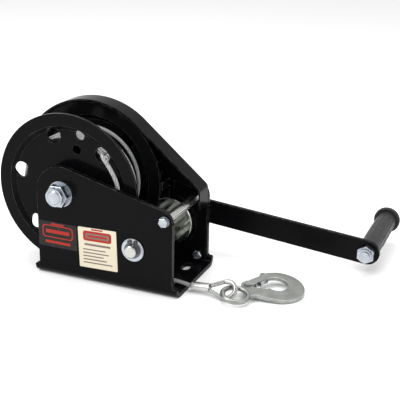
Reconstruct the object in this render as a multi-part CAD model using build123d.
from build123d import *
import os
from math import atan2, cos, degrees, hypot, pi, radians, sin, sqrt, tan

# Boat trailer winch: a channel frame with a geared cable drum, a brake shaft, a crank and a hooked rope.
# X runs along the channel to the end where the rope leaves, Y runs across it to the crank, Z is up.
# The origin is the middle of the channel's underside.  All sizes are in millimetres.

# Channel frame
LENGTH = 170.0
WIDTH = 108.0
SHEET = 5.0
TAB = 6.0                  # the base is longer than the side plates at each end
TAB_HEIGHT = 12.0
BEND_OUTER = 10.0
HIGH_END = 144.5           # height of the side plates at the drum end
LOW_END = 99.5             # and at the rope end
SLOT_WIDTH = 11.0
SLOT_LENGTH = 21.0
SLOT_X = 69.0
SLOT_Y = 24.5

# Gear pair
MODULE = 4.0
GEAR_TEETH = 42
PINION_TEETH = 10
CENTRES = MODULE * (GEAR_TEETH + PINION_TEETH) / 2
CENTRES_ANGLE = radians(-30)

# Shaft positions in X and Z
DRUM = (-52.5, 103.5)
SHAFT = (DRUM[0] + CENTRES * cos(CENTRES_ANGLE), DRUM[1] + CENTRES * sin(CENTRES_ANGLE))
TIE = (76.0, 91.5)
TIE_R = 3.0
TIE_WASHER = 1.6
GUARD_BOLTS = ((74.0, 13.0), (-8.0, 13.0))
PAWL_PIVOT = (29.9, 79.3)

# Side plate faces in Y
NEAR_OUT = -WIDTH / 2
NEAR_IN = NEAR_OUT + SHEET
REAR_OUT = WIDTH / 2
REAR_IN = REAR_OUT - SHEET

# Drum
AXLE_R = 8.0
AXLE_WASHER = 2.5
HUB_R = 15.0
BUSH_R = 10.5
BARREL_R = 58.3
FLANGE_R = 89.5
DISH_R = 70.0
DISH_STEP = 5.0
FLANGE_SHEET = 3.0
HOLE_CIRCLE_R = 64.0
FLANGE_HOLE_R = 9.25
FIRST_HOLE = 46.5          # degrees from +X towards +Z
FLANGE_NEAR_FACE = -37.0
FLANGE_FAR_FACE = 21.0
GEAR_WIDTH = 8.0

# Wire rope
ROPE_D = 5.0
ROPE_R = ROPE_D / 2
WRAP_R = 60.8
WRAPS_Y = (-31.0, -26.0, -20.5, -15.0, -9.5, -4.0, 2.0, 18.4)

# Gear guard
GUARD_R = 94.0
GUARD_SHEET = 2.0
GUARD_FRONT = 13.0
GUARD_LIP_FRONT = 28.0
GUARD_BACK = 37.0
GUARD_SIDE_X = 89.0        # the shoulder's upright edge and its lower end
GUARD_SIDE_Z = 99.0
PINION_CLEARANCE = 33.0

# Brake shaft and crank
SHAFT_R = 8.0
JOURNAL_R = 7.0
TURN_GAP = 0.06            # round the shaft where the crank turns on it
PINION_FRONT = 20.5
PINION_BACK = 42.0
BRAKE_START = REAR_OUT + 1.6
RATCHET_TEETH = 12
RATCHET_R = 22.0
RATCHET_ROOT = 18.5
RATCHET_PHASE = 150.0
CRANK_LENGTH = 230.6
CRANK_ANGLE = radians(-5.35)
CRANK_WIDTH = 30.0
CRANK_THICK = 5.0
CRANK_Y = 99.0
GRIP = (SHAFT[0] + CRANK_LENGTH * cos(CRANK_ANGLE), SHAFT[1] + CRANK_LENGTH * sin(CRANK_ANGLE))
GRIP_END = 220.0
GRIP_FLUTES = 12

# Rope eye, ferrule and hook
EYE_CENTRE = (139.0, -25.3, 10.0)
EYE_R = 10.5
EYE_REACH = 26.0           # from the middle of the eye to where its two legs meet
EYE_ROLL = 43.7
EYE_PITCH = 4.3
FERRULE_R = 5.1
FERRULE_LENGTH = 22.0
HOOK_EYE = (150.7, -28.9, 8.2)
HOOK_HEADING = 45.0
HOOK_PITCH = 1.6
HOOK_ROLL = 9.0
HOOK_THICK = 4.6
HOOK_EYE_R = 14.3
HOOK_EYE_TUBE_R = 2.9
# These four lie in the hook's own plane, from the middle of its eye
HOOK_BOWL = (55.5, 1.5)
HOOK_OPENING = (54.0, 6.5)
LATCH_PIVOT = (20.5, 13.0)
LATCH_TIP = (47.0, 22.0)
HOOK_BOWL_R = 28.7
HOOK_OPENING_R = 13.2
LATCH_HALF_WIDTH = 4.2

# Free rope from the drum to the ferrule
ROPE_ROUTE = [
    (-26.2, -26.0, 42.6),
    (-6.0, -26.0, 41.2),
    (14.0, -26.0, 35.5),
    (33.0, -25.6, 25.6),
    (51.0, -25.2, 15.4),
    (69.0, -25.0, 9.3),
    (84.0, -25.2, 8.6),
]

# Bought fasteners: across flats and height of the head or nut
M16 = (24.0, 14.0)
M12 = (19.0, 11.0)
M6 = (10.0, 5.0)


def slab(face, start, end):
    """Extrude an outline drawn in X and Z from y = start to y = end."""
    return extrude(Plane.XZ.offset(-end) * face, amount=end - start)


def disc(centre, radius, start, end):
    """Round bar along Y about a point in X and Z."""
    return slab(Pos(*centre) * Circle(radius), start, end)


def tube(centre, outer, inner, start, end):
    return disc(centre, outer, start, end) - disc(centre, inner, start, end)


def hexagon(centre, flats, start, end, turn=0):
    prism = slab(Pos(*centre) * Rot(0, 0, turn) * RegularPolygon(flats / sqrt(3), 6), start, end)
    rings = prism.edges().group_by(Axis.Y)
    return chamfer(rings[0] + rings[-1], 0.5)


def polar(centre, radius, angle):
    """Point in X and Z at an angle in degrees about a centre."""
    return (centre[0] + radius * cos(radians(angle)), centre[1] + radius * sin(radians(angle)))


def turned(centre, outline):
    """Solid of revolution along Y from (radius, y) points."""
    face = Plane.XY * Polygon(*outline, align=None)
    return Pos(centre[0], 0, centre[1]) * revolve(face, Axis.Y, 360)


def face_of(points):
    """Flat face with straight sides, turned so that it always faces up its own plane."""
    twice_area = sum(a[0] * b[1] - b[0] * a[1] for a, b in zip(points, points[1:] + points[:1]))
    return Polygon(*(points if twice_area > 0 else points[::-1]), align=None)


# ---- Channel frame -------------------------------------------------------------------------------

def side_outline():
    """Side plate with the base tabs: sloping top edge and two rounded upper corners."""
    half = LENGTH / 2
    end = half + TAB
    plate = face_of([
        (-end, 0), (end, 0), (end, TAB_HEIGHT), (half, TAB_HEIGHT),
        (half, LOW_END), (-half, HIGH_END), (-half, TAB_HEIGHT), (-end, TAB_HEIGHT),
    ])
    high = plate.vertices().sort_by(Axis.Y)[-1]
    plate = fillet(high, 32)
    low = [v for v in plate.vertices() if abs(v.X - half) < 1 and v.Y > LOW_END - 1]
    plate = fillet(low, 16)
    steps = [v for v in plate.vertices() if abs(v.Y - TAB_HEIGHT) < 0.1]
    return fillet(steps, 2.5)


def channel_section():
    """U section across the frame, open at the top."""
    tall = HIGH_END + 10
    block = Rectangle(WIDTH, tall, align=(Align.CENTER, Align.MIN))
    outer = fillet(block.vertices().group_by(Axis.Y)[0], BEND_OUTER)
    inner = Rectangle(WIDTH - 2 * SHEET, tall, align=(Align.CENTER, Align.MIN))
    inner = fillet(inner.vertices().group_by(Axis.Y)[0], BEND_OUTER - SHEET)
    return outer - Pos(0, SHEET) * inner


def frame_channel():
    reach = LENGTH / 2 + TAB
    body = extrude(Plane.YZ.offset(-reach) * channel_section(), amount=2 * reach)
    body = body & slab(side_outline(), NEAR_OUT, REAR_OUT)
    for x in (-SLOT_X, SLOT_X):
        for y in (-SLOT_Y, SLOT_Y):
            slot = Pos(x, y) * Rot(0, 0, 90) * SlotOverall(SLOT_LENGTH, SLOT_WIDTH)
            body -= extrude(slot, amount=SHEET)
    body -= disc(DRUM, AXLE_R + 0.1, NEAR_OUT, REAR_OUT)
    body -= disc(TIE, TIE_R + 0.2, NEAR_OUT, REAR_OUT)
    body -= disc(SHAFT, 10.0, NEAR_OUT, NEAR_IN)
    body -= disc(SHAFT, 11.0, REAR_IN, REAR_OUT)
    body -= disc(PAWL_PIVOT, 3.5, REAR_IN, REAR_OUT)
    for bolt in GUARD_BOLTS:
        body -= disc(bolt, 3.25, REAR_IN, REAR_OUT)
    return body


def label(centre, width, height, turn):
    outline = RectangleRounded(width, height, 1.5)
    return slab(Pos(*centre) * Rot(0, 0, turn) * outline, NEAR_OUT - 0.3, NEAR_OUT)


# ---- Gear guard ----------------------------------------------------------------------------------

def guard_outline(inset=0.0):
    """Round cover over the gear; a straight tangent runs from it to the shoulder above the pinion."""
    tangent = 50
    radius = GUARD_R - inset
    side_x = GUARD_SIDE_X - inset
    across = (side_x - DRUM[0]) * cos(radians(tangent))
    shoulder_z = DRUM[1] + (radius - across) / sin(radians(tangent))
    start = polar(DRUM, radius, tangent)
    end = polar(DRUM, radius, 3.6)
    shoulder = (side_x, shoulder_z)
    corner = FilletPolyline(start, shoulder, (side_x, GUARD_SIDE_Z), end, radius=[8 - inset, 0.5])
    around = ThreePointArc(end, polar(DRUM, radius, 206.8), start)
    return make_face([*corner.edges(), *around.edges()])


def sector(start, end, radius=220.0):
    """Wedge about the drum axis between two angles in degrees."""
    steps = 6
    arc = [polar(DRUM, radius, start + (end - start) * k / steps) for k in range(steps + 1)]
    return face_of([DRUM] + arc)


def guard_foot_outline():
    """Flat foot that lies on the rear plate beside and below the round cover."""
    left, right, bottom = -20.0, 84.0, 10.5
    top_left = polar(DRUM, GUARD_R, 3.6)
    top_right = (right, 100.2)
    foot = face_of([(left, bottom), (right, bottom), top_right, top_left, (left, top_left[1])])
    foot -= Pos(*DRUM) * Circle(GUARD_R - GUARD_SHEET)
    return foot


def gear_guard():
    outline = guard_outline()
    rim = outline - guard_outline(GUARD_SHEET)
    body = slab(outline, GUARD_BACK - GUARD_SHEET, GUARD_BACK)
    body += slab(rim & sector(-1.7, 165), GUARD_FRONT, GUARD_BACK)
    body += slab(rim & sector(165, 235), GUARD_LIP_FRONT, GUARD_BACK)
    body += slab(Pos(88, 92) * Rectangle(GUARD_SHEET, 16), GUARD_FRONT, GUARD_BACK)
    foot = guard_foot_outline()
    body += slab(foot, REAR_IN - GUARD_SHEET, REAR_IN)
    # The joggle walls carry the cover forward from the foot.
    start = polar(DRUM, GUARD_R, 3.6)
    slope = face_of([start, (84, 100.2), (84, 98.2), (start[0], start[1] - GUARD_SHEET)])
    ring = Circle(GUARD_R) - Circle(GUARD_R - GUARD_SHEET)
    body += slab(slope, GUARD_BACK - GUARD_SHEET, REAR_IN)
    body += slab((Pos(*DRUM) * ring) & sector(-73, 4), GUARD_BACK - GUARD_SHEET, REAR_IN)
    body -= disc(SHAFT, PINION_CLEARANCE, GUARD_FRONT, REAR_IN)
    body -= disc(DRUM, AXLE_R + 0.2, GUARD_FRONT, REAR_IN)
    body -= disc(TIE, TIE_R + 0.2, GUARD_FRONT, REAR_IN)
    for bolt in GUARD_BOLTS:
        body -= disc(bolt, 3.25, GUARD_FRONT, REAR_IN)
    return body


# ---- Fasteners -----------------------------------------------------------------------------------

def guard_bolts():
    flats, height = M6
    return [
        hexagon(spot, flats, REAR_OUT, REAR_OUT + 4) + disc(spot, 3, REAR_IN - 9, REAR_OUT)
        for spot in GUARD_BOLTS
    ]


def guard_nuts():
    flats, height = M6
    face = REAR_IN - GUARD_SHEET
    return [
        hexagon(spot, flats, face - height, face) - disc(spot, 3, face - height, face)
        for spot in GUARD_BOLTS
    ]


def tie_bolt():
    flats, height = M6
    face = NEAR_OUT - TIE_WASHER
    head = hexagon(TIE, flats, face - height, face, turn=12)
    return head + disc(TIE, TIE_R, face, REAR_OUT + 8)


def tie_washers():
    near = tube(TIE, 6.0, TIE_R, NEAR_OUT - TIE_WASHER, NEAR_OUT)
    return [near, tube(TIE, 6.0, TIE_R, REAR_OUT, REAR_OUT + TIE_WASHER)]


def tie_nut():
    flats, height = M6
    start = REAR_OUT + TIE_WASHER
    return hexagon(TIE, flats, start, start + height) - disc(TIE, TIE_R, start, start + height)


def axle_bolt():
    flats = M16[0]
    start = REAR_OUT + AXLE_WASHER
    head = hexagon(DRUM, flats, start, start + 10)
    stem = disc(DRUM, AXLE_R, NEAR_OUT - 18, start)
    return head + chamfer(stem.edges().group_by(Axis.Y)[0], 1)


def axle_washers():
    near = tube(DRUM, 15, AXLE_R, NEAR_OUT - AXLE_WASHER, NEAR_OUT)
    return [near, tube(DRUM, 15, AXLE_R, REAR_OUT, REAR_OUT + AXLE_WASHER)]


def axle_nut():
    """Locking nut: a hexagon with a round collar that holds the nylon ring."""
    flats, height = M16
    start = NEAR_OUT - AXLE_WASHER
    collar = disc(DRUM, flats / 2 - 1.5, start - height, start - 5)
    nut = hexagon(DRUM, flats, start - height + 4, start) + collar
    return nut - disc(DRUM, AXLE_R, start - height, start)


# ---- Drum ----------------------------------------------------------------------------------------

def flange(face, rim_radius):
    """Pressed flange, dished away from -Y, with six round holes; `face` is the dish's near side."""
    step = DISH_R + DISH_STEP
    back = face + FLANGE_SHEET
    body = turned(DRUM, [
        (HUB_R, face), (DISH_R, face), (step, face - DISH_STEP), (rim_radius, face - DISH_STEP),
        (rim_radius, back - DISH_STEP), (step + 1, back - DISH_STEP), (DISH_R + 1, back), (HUB_R, back),
    ])
    for k in range(6):
        spot = polar(DRUM, HOLE_CIRCLE_R, FIRST_HOLE + 60 * k)
        body -= disc(spot, FLANGE_HOLE_R, face - DISH_STEP, back)
    return body


def drum_flange_near():
    body = flange(FLANGE_NEAR_FACE, FLANGE_R)
    front = FLANGE_NEAR_FACE - DISH_STEP
    for radius, hole_r in ((67.6, 6.0), (49.7, 5.5)):
        body -= disc(polar(DRUM, radius, 76.5), hole_r, front, FLANGE_NEAR_FACE + FLANGE_SHEET)
    return body


def drum_barrel():
    start = FLANGE_NEAR_FACE + FLANGE_SHEET
    return tube(DRUM, BARREL_R, BARREL_R - FLANGE_SHEET, start, FLANGE_FAR_FACE)


def drum_hub():
    return tube(DRUM, HUB_R, BUSH_R, NEAR_IN + 0.5, GUARD_BACK - GUARD_SHEET - 2)


def drum_bushes():
    length = 18
    near = NEAR_IN + 0.5
    far = GUARD_BACK - GUARD_SHEET - 2
    inner = AXLE_R + 0.08
    return [tube(DRUM, BUSH_R, inner, near, near + length), tube(DRUM, BUSH_R, inner, far - length, far)]


def involute_gear(teeth, backlash, addendum, phase):
    """Involute spur gear outline about the origin; one tooth points along `phase` degrees."""
    pitch_r = MODULE * teeth / 2
    base_r = pitch_r * cos(radians(20))
    tip_r = pitch_r + addendum * MODULE
    root_r = pitch_r - 1.25 * MODULE
    flank_points = 5

    def involute(radius):
        roll = sqrt(max((radius / base_r) ** 2 - 1, 0))
        return roll - atan2(roll, 1)

    half_tooth = (pi * MODULE / 2 - backlash) / (2 * pitch_r) + involute(pitch_r)
    low = max(base_r, root_r)
    flank = [(root_r, half_tooth)]
    for k in range(flank_points):
        radius = low + (tip_r - low) * k / (flank_points - 1)
        flank.append((radius, half_tooth - involute(radius)))
    if base_r <= root_r:
        flank = flank[1:]
    points = []
    for tooth in range(teeth):
        middle = radians(phase) + 2 * pi * tooth / teeth
        side = [(r, middle - a) for r, a in flank] + [(r, middle + a) for r, a in reversed(flank)]
        points += [(r * cos(a), r * sin(a)) for r, a in side]
    return face_of(points)


def drum_gear():
    """The drum gear has a tooth gap facing the pinion."""
    start = FLANGE_FAR_FACE + FLANGE_SHEET
    facing = degrees(CENTRES_ANGLE)
    outline = involute_gear(GEAR_TEETH, 0.5, 0.9, facing + 180 / GEAR_TEETH)
    outline -= Circle(HUB_R)
    for k in range(6):
        outline -= Pos(*polar((0, 0), HOLE_CIRCLE_R, FIRST_HOLE + 60 * k)) * Circle(FLANGE_HOLE_R)
    return slab(Pos(*DRUM) * outline, start, start + GEAR_WIDTH)


# ---- Rope on the drum ----------------------------------------------------------------------------

def rope_wound():
    """One layer of wraps as a scalloped ring on a thin sleeve that lies on the barrel."""
    sleeve_r = BARREL_R + 0.9
    half = sqrt(ROPE_R ** 2 - (WRAP_R - sleeve_r) ** 2)
    edges = []
    last = (sleeve_r, WRAPS_Y[0] - half)
    for y in WRAPS_Y:
        low, high = (sleeve_r, y - half), (sleeve_r, y + half)
        if y > WRAPS_Y[0]:
            edges.append(Line(last, low))
        edges.append(ThreePointArc(low, (WRAP_R + ROPE_R, y), high))
        last = high
    start = (sleeve_r, WRAPS_Y[0] - half)
    edges += [Line(last, (BARREL_R, last[1])), Line((BARREL_R, last[1]), (BARREL_R, start[1]))]
    edges.append(Line((BARREL_R, start[1]), start))
    return Pos(DRUM[0], 0, DRUM[1]) * revolve(make_face(edges), Axis.Y, 360)


def swept(points, radii, radius=ROPE_R):
    """Round tube along straight runs joined by arcs."""
    path = FilletPolyline(*points, radius=radii)
    return sweep(Plane(origin=path @ 0, z_dir=path % 0) * Circle(radius), path=path)


def rope_anchor():
    """The fixed end comes out of one flange hole, lies on the flange and goes in at the next."""
    out = polar(DRUM, 67.2, FIRST_HOLE)
    back = polar(DRUM, 68.0, FIRST_HOLE - 60)
    inside = FLANGE_NEAR_FACE + FLANGE_SHEET + 1.5
    outside = -44.6
    points = [
        (out[0], inside, out[1]),
        (out[0], outside, out[1]),
        (4.5, outside, 139.5),
        (14.2, outside, 122.0),
        (13.8, outside, 104.0),
        (back[0], outside, back[1]),
        (back[0], inside, back[1]),
    ]
    return swept(points, [5, 14, 22, 22, 5])


def rope_stop():
    """Crimped stop on the rope's fixed end."""
    back = polar(DRUM, 68.0, FIRST_HOLE - 60)
    start = FLANGE_NEAR_FACE + FLANGE_SHEET + 1.5
    return chamfer(disc(back, 4.4, start, start + 11).edges(), 0.8)


# ---- Brake shaft ---------------------------------------------------------------------------------

def drive_shaft():
    body = disc(SHAFT, SHAFT_R, NEAR_IN + 2, CRANK_Y)
    body += disc(SHAFT, JOURNAL_R, NEAR_OUT - 9.5, NEAR_IN + 2)
    body += disc(SHAFT, 6, CRANK_Y, CRANK_Y + 20)
    body = chamfer(body.edges().group_by(Axis.Y)[0], 1)
    groove = tube(SHAFT, JOURNAL_R, 6.4, NEAR_OUT - 3.3, NEAR_OUT - 1.9)
    return body - groove


def bush_near():
    inner = JOURNAL_R + 0.06
    collar = tube(SHAFT, 13.5, inner, NEAR_IN, NEAR_IN + 1.8)
    return tube(SHAFT, 10, inner, NEAR_OUT, NEAR_IN + 0.4) + collar


def bush_rear():
    inner = SHAFT_R + 0.06
    return tube(SHAFT, 11, inner, REAR_IN, REAR_OUT) + tube(SHAFT, 14, inner, REAR_OUT, REAR_OUT + 1.5)


def shaft_circlip():
    """External ring with a gap and two eyes at the top."""
    start, end = NEAR_OUT - 3.2, NEAR_OUT - 2.0
    ring = Circle(9.6) - Circle(6.4) - Pos(0, 8) * Rectangle(3.4, 8)
    for side in (-1, 1):
        ring += Pos(3.6 * side, 9.6) * (Circle(2.4) - Circle(0.9))
    return slab(Pos(*SHAFT) * ring, start, end)


def pinion():
    phase = degrees(CENTRES_ANGLE) + 180
    outline = involute_gear(PINION_TEETH, 0.5, 0.95, phase) - Circle(SHAFT_R)
    return slab(Pos(*SHAFT) * outline, PINION_FRONT, PINION_BACK)


def pinion_flange():
    body = chamfer(disc(SHAFT, 29, PINION_BACK, REAR_IN - 1).edges(), 0.6)
    return body - disc(SHAFT, SHAFT_R, PINION_BACK, REAR_IN)


def friction_disc(start):
    return tube(SHAFT, RATCHET_ROOT - 0.5, SHAFT_R, start, start + 2.5)


def ratchet_wheel():
    step = 360 / RATCHET_TEETH
    points = []
    for k in range(RATCHET_TEETH):
        angle = RATCHET_PHASE + step * k
        points += [polar(SHAFT, RATCHET_ROOT, angle), polar(SHAFT, RATCHET_R, angle)]
    wheel = slab(face_of(points), BRAKE_START + 7.6, BRAKE_START + 13.4)
    return wheel - disc(SHAFT, SHAFT_R + 0.08, REAR_OUT, CRANK_Y)


def pawl():
    """Lever on the pivot pin whose nose stands in front of a ratchet tooth."""
    nose_in = polar(SHAFT, RATCHET_ROOT + 1.1, RATCHET_PHASE - 1.8)
    nose_out = polar(SHAFT, RATCHET_R + 2, RATCHET_PHASE - 1.8)
    over_tooth = polar(SHAFT, RATCHET_R + 1, RATCHET_PHASE - 30)
    boss = Pos(*PAWL_PIVOT) * Circle(5.5)
    back = (PAWL_PIVOT[0] - 5.2, PAWL_PIVOT[1] + 1.5)
    lever = face_of([nose_in, nose_out, back, PAWL_PIVOT, over_tooth])
    start = BRAKE_START + 8.4
    return slab(boss + lever, start, start + 4.6) - disc(PAWL_PIVOT, 3.55, start, start + 4.6)


def pawl_pin():
    """Riveted pin with a shoulder that keeps the pawl in the ratchet's plane."""
    shoulder = BRAKE_START + 8.2
    body = disc(PAWL_PIVOT, 3.5, REAR_IN - 0.4, BRAKE_START + 18)
    body += disc(PAWL_PIVOT, 5, REAR_OUT, shoulder)
    return body + disc(PAWL_PIVOT, 5.5, BRAKE_START + 17, BRAKE_START + 19)


def pawl_spring():
    """Close-wound torsion spring on the pivot pin, with a leg that bears on the pawl."""
    start = BRAKE_START + 13.2
    coils = [
        Pos(PAWL_PIVOT[0], start + 0.6 + 1.15 * k, PAWL_PIVOT[1]) * Rot(90, 0, 0) * Torus(4.4, 0.6)
        for k in range(3)
    ]
    toe = polar(PAWL_PIVOT, 14, 215)
    heel = polar(PAWL_PIVOT, 4.4, 180)
    length = hypot(toe[0] - heel[0], toe[1] - heel[1])
    lean = degrees(atan2(toe[1] - heel[1], toe[0] - heel[0]))
    leg = Cylinder(0.6, length, rotation=(0, 90, 0), align=(Align.CENTER, Align.CENTER, Align.MIN))
    leg = Pos(heel[0], start + 0.6, heel[1]) * Rot(0, -lean, 0) * leg
    return coils[0] + coils[1] + coils[2] + leg


def crank_hub():
    start = BRAKE_START + 16.0
    body = disc(SHAFT, RATCHET_R, start, start + 4.5) + disc(SHAFT, 15, start + 4.5, CRANK_Y)
    return body - disc(SHAFT, SHAFT_R + TURN_GAP, start, CRANK_Y)


# ---- Crank and grip ------------------------------------------------------------------------------

def crank_arm():
    middle = ((SHAFT[0] + GRIP[0]) / 2, (SHAFT[1] + GRIP[1]) / 2)
    outline = SlotOverall(CRANK_LENGTH + CRANK_WIDTH, CRANK_WIDTH)
    bar = slab(Pos(*middle) * Rot(0, 0, degrees(CRANK_ANGLE)) * outline, CRANK_Y, CRANK_Y + CRANK_THICK)
    bar = chamfer(bar.edges().filter_by(Plane.XZ), 0.6)
    bar -= disc(SHAFT, 6 + TURN_GAP, CRANK_Y, CRANK_Y + CRANK_THICK)
    return bar - disc(GRIP, 6, CRANK_Y, CRANK_Y + CRANK_THICK)


def hub_nut():
    flats, height = M12
    start = CRANK_Y + CRANK_THICK + 2.5
    bore = disc(SHAFT, 6 + TURN_GAP, start, start + height)
    return hexagon(SHAFT, flats, start, start + height) - bore


def grip_bolt():
    body = disc(GRIP, 6, CRANK_Y - 14, GRIP_END - 5)
    return body + fillet(disc(GRIP, 9, GRIP_END - 5, GRIP_END - 1).edges().group_by(Axis.Y)[-1], 1.5)


def grip_nut():
    flats, height = M12
    collar = disc(GRIP, 8.2, CRANK_Y - 12, CRANK_Y - 8)
    nut = hexagon(GRIP, flats, CRANK_Y - 9, CRANK_Y, turn=30) + collar
    return nut - disc(GRIP, 6, CRANK_Y - 12, CRANK_Y)


def grip_sleeve():
    """Hand grip that turns on the bolt: barrelled, fluted, with a small collar by the arm."""
    start = CRANK_Y + CRANK_THICK + 2.3
    end = GRIP_END - 6.2
    middle = (start + end) / 2
    with_collar = [(6.1, start), (13.6, start), (13.6, start + 4), (12.2, start + 6)]
    belly = [(12.7, middle - 20), (12.7, middle + 20), (12.2, end), (6.1, end)]
    body = turned(GRIP, with_collar + belly)
    for number in range(GRIP_FLUTES):
        centre = polar(GRIP, 13.6, number * 360 / GRIP_FLUTES)
        body -= disc(centre, 1.7, start + 12, end - 14)
    return body


def grip_end():
    """Moulded collar at the end of the grip, with a recess for the bolt head."""
    start = GRIP_END - 6.2
    ring = chamfer(disc(GRIP, 16.5, start, GRIP_END).edges(), 1.2)
    return ring - disc(GRIP, 9.4, start + 1, GRIP_END) - disc(GRIP, 6.1, start, GRIP_END)


# ---- Free rope, eye and hook ---------------------------------------------------------------------

def eye_frame():
    """Place of the rope eye: x along the ferrule, rolled about it, pitched up from the ground."""
    return Location(EYE_CENTRE) * Rot(0, -EYE_PITCH, 0) * Rot(EYE_ROLL, 0, 0)


def eye_leg_angle():
    """Half the angle between the two legs of the eye."""
    return 90 - degrees(atan2(sqrt(EYE_REACH ** 2 - EYE_R ** 2), EYE_R))


def ferrule_ends():
    """Distances of the ferrule's two faces behind the middle of the eye."""
    mouth = EYE_REACH - ROPE_R / tan(radians(eye_leg_angle())) - 0.2
    return mouth + FERRULE_LENGTH, mouth


def ferrule():
    back, front = ferrule_ends()
    body = Cylinder(FERRULE_R, back - front, rotation=(0, 90, 0))
    body = chamfer(body.edges(), 0.7)
    return eye_frame() * Pos(-(back + front) / 2, 0, 0) * body


def rope_eye():
    front = ferrule_ends()[1]
    lean = radians(eye_leg_angle())
    start = Vector(-front, -(EYE_REACH - front) * tan(lean))
    touch = Vector(-EYE_R * sin(lean), -EYE_R * cos(lean))
    mirror = Vector(touch.X, -touch.Y)
    leg = Line(start, touch)
    bow = ThreePointArc(touch, (EYE_R, 0), mirror)
    path = Wire([leg.edge(), bow.edge(), Line(mirror, (start.X, -start.Y)).edge()])
    body = sweep(Plane(origin=path @ 0, z_dir=path % 0) * Circle(ROPE_R), path=path)
    body -= Pos(-front - 10, 0, 0) * Box(20, 30, 30)
    return eye_frame() * body


def thimble():
    """Grooved liner inside the round part of the eye."""
    lining = 0.8
    groove = Circle(ROPE_R + lining) - Circle(ROPE_R)
    groove -= Pos(ROPE_R, 0) * Rectangle(2 * ROPE_R, 4 * ROPE_R)
    sweep_angle = 2 * (90 + eye_leg_angle()) - 6
    section = Plane.XZ * (Pos(EYE_R, 0) * groove)
    body = Rot(0, 0, -sweep_angle / 2) * revolve(section, Axis.Z, sweep_angle)
    return eye_frame() * body


def rope_radii():
    """Bend radii: 0.45 of the shorter run over the tangent of half the turn."""
    points = [Vector(*p) for p in ROPE_ROUTE + [ferrule_tail()]]
    radii = []
    for before, here, after in zip(points, points[1:], points[2:]):
        turn = radians((here - before).get_angle(after - here))
        run = min((here - before).length, (after - here).length)
        radii.append(0.45 * run / tan(turn / 2))
    return radii


def ferrule_tail():
    spot = eye_frame() * Pos(-ferrule_ends()[0], 0, 0)
    return tuple(spot.position)


def rope_free():
    points = ROPE_ROUTE + [ferrule_tail()]
    radii = rope_radii()
    body = swept(points, radii)
    length = FilletPolyline(*points, radius=radii).length
    print("rope radii", [round(r) for r in radii], "length", round(length, 1))
    print("rope volume", round(body.volume), "section x length", round(pi * ROPE_R ** 2 * length))
    return body


def hook_frame():
    """Place of the hook: x from its eye to its bowl, y towards its point, lying on the ground."""
    return Location(HOOK_EYE) * Rot(0, 0, HOOK_HEADING) * Rot(0, HOOK_PITCH, 0) * Rot(HOOK_ROLL, 0, 0)


def hook_outline():
    """Bowl with its opening, cut at the mouth, then the shank, the latch lug and the round point."""
    outline = Pos(*HOOK_BOWL) * Circle(HOOK_BOWL_R) - Pos(*HOOK_OPENING) * Circle(HOOK_OPENING_R)
    beyond = 2 * HOOK_BOWL_R
    outline -= face_of([HOOK_BOWL] + [polar(HOOK_BOWL, beyond, angle) for angle in (111, 150, 185)])
    shank_below = [(12, -9.5), (20, -8), (34, -19), (45, -10)]
    shank_above = [(45, -4.3), (30, 4), (26, 7.5), (22, 14), (14, 14), (11.5, 8)]
    outline += face_of(shank_below + shank_above)
    outline += Pos(*LATCH_PIVOT) * Circle(7)
    return outline + Pos(*polar(HOOK_BOWL, 26.5, 107.5)) * Circle(5)


def hook():
    """Forged slip hook: a round eye, a flat shank with the latch lug, and the bowl."""
    body = extrude(hook_outline(), amount=HOOK_THICK / 2, both=True)
    body -= Cylinder(HOOK_EYE_R - HOOK_EYE_TUBE_R + 0.4, HOOK_THICK + 2)
    body += Torus(HOOK_EYE_R, HOOK_EYE_TUBE_R)
    rivet_hole = Pos(*LATCH_PIVOT, 0) * Cylinder(2.5, HOOK_THICK)
    return hook_frame() * (body - rivet_hole)


def latch_frame():
    """Place of the latch: x from its pivot to its free end, y towards the point of the hook."""
    lean = degrees(atan2(LATCH_TIP[1] - LATCH_PIVOT[1], LATCH_TIP[0] - LATCH_PIVOT[0]))
    return hook_frame() * Pos(*LATCH_PIVOT, 0) * Rot(0, 0, lean)


def hook_latch():
    """Folded sheet latch: two cheeks outside the hook and a bridge across its mouth."""
    length = hypot(LATCH_TIP[0] - LATCH_PIVOT[0], LATCH_TIP[1] - LATCH_PIVOT[1])
    outer = HOOK_THICK / 2 + 1.3
    inner = HOOK_THICK / 2 + 0.3
    cheek = Pos(length / 2, 0) * SlotOverall(length + 2 * LATCH_HALF_WIDTH, 2 * LATCH_HALF_WIDTH)
    body = extrude(cheek, amount=outer, both=True) - extrude(cheek, amount=inner, both=True)
    bridge_start, bridge_end = 10, length - 1.5
    bridge = Box(bridge_end - bridge_start, 1, 2 * outer)
    body += Pos((bridge_start + bridge_end) / 2, 0.5 - LATCH_HALF_WIDTH, 0) * bridge
    return latch_frame() * (body - Cylinder(2.55, 2 * outer))


def latch_rivet():
    stem = Cylinder(2.5, HOOK_THICK + 3)
    for side in (-1, 1):
        stem += Pos(0, 0, side * (HOOK_THICK / 2 + 2.1)) * Cylinder(4, 1.2)
    return hook_frame() * Pos(*LATCH_PIVOT, 0) * stem


def latch_spring():
    """Bent leaf that lies on the outside of the latch's bridge and reaches down to the shank."""
    face = -LATCH_HALF_WIDTH
    flat = [(22, face), (22, face - 0.8), (16.2, face - 0.8)]
    foot = [(15.0, face - 4.0), (14.2, face - 3.7), (15.6, face)]
    return latch_frame() * extrude(face_of(flat + foot), amount=2.5, both=True)


# ---- Write the parts -----------------------------------------------------------------------------

def write(name, shape):
    if isinstance(shape, list):
        shape = Compound(children=[s.solid() if hasattr(s, "solid") else s for s in shape])
    export_step(shape, "parts/" + name + ".step")


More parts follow.
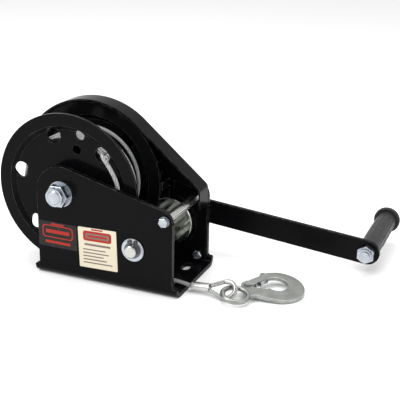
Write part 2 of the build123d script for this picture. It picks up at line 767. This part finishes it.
def main():
    os.makedirs("parts", exist_ok=True)
    nodes = {
        "frame_channel": frame_channel(),
        "gear_guard": gear_guard(),
        "guard_bolts": guard_bolts(),
        "guard_nuts": guard_nuts(),
        "tie_bolt": tie_bolt(),
        "tie_washers": tie_washers(),
        "tie_spacer": tube(TIE, 5, TIE_R, NEAR_IN, REAR_IN - GUARD_SHEET),
        "tie_nut": tie_nut(),
        "axle_bolt": axle_bolt(),
        "axle_washers": axle_washers(),
        "axle_spacer": tube(DRUM, 13, AXLE_R, GUARD_BACK, REAR_IN),
        "axle_nut": axle_nut(),
        "bush_near": bush_near(),
        "bush_rear": bush_rear(),
        "label_light": label((-7.3, 43.8), 48.8, 49.0, 1.8),
        "label_dark": label((-59.2, 51.5), 50.2, 31.0, 0),
        "drum_flange_near": drum_flange_near(),
        "drum_flange_far": flange(FLANGE_FAR_FACE, FLANGE_R),
        "drum_barrel": drum_barrel(),
        "drum_hub": drum_hub(),
        "drum_bushes": drum_bushes(),
        "drum_gear": drum_gear(),
        "rope_wound": rope_wound(),
        "rope_anchor": rope_anchor(),
        "rope_stop": rope_stop(),
        "drive_shaft": drive_shaft(),
        "pinion": pinion(),
        "pinion_flange": pinion_flange(),
        "shaft_washer": tube(SHAFT, 13.5, JOURNAL_R + 0.1, NEAR_OUT - 1.8, NEAR_OUT),
        "shaft_circlip": shaft_circlip(),
        "brake_plate": tube(SHAFT, RATCHET_R, SHAFT_R, BRAKE_START, BRAKE_START + 5),
        "friction_disc_inner": friction_disc(BRAKE_START + 5),
        "friction_disc_outer": friction_disc(BRAKE_START + 13.5),
        "ratchet_wheel": ratchet_wheel(),
        "pawl": pawl(),
        "pawl_pin": pawl_pin(),
        "pawl_spring": pawl_spring(),
        "crank_hub": crank_hub(),
        "crank_arm": crank_arm(),
        "hub_washer": tube(SHAFT, 12, 6 + TURN_GAP, CRANK_Y + CRANK_THICK, CRANK_Y + CRANK_THICK + 2.5),
        "hub_nut": hub_nut(),
        "grip_bolt": grip_bolt(),
        "grip_washer": tube(GRIP, 12, 6, CRANK_Y + CRANK_THICK, CRANK_Y + CRANK_THICK + 2),
        "grip_nut": grip_nut(),
        "grip_sleeve": grip_sleeve(),
        "grip_end": grip_end(),
        "rope_free": rope_free(),
        "rope_eye": rope_eye(),
        "ferrule": ferrule(),
        "thimble": thimble(),
        "hook": hook(),
        "hook_latch": hook_latch(),
        "latch_rivet": latch_rivet(),
        "latch_spring": latch_spring(),
    }
    for name, shape in nodes.items():
        write(name, shape)


main()
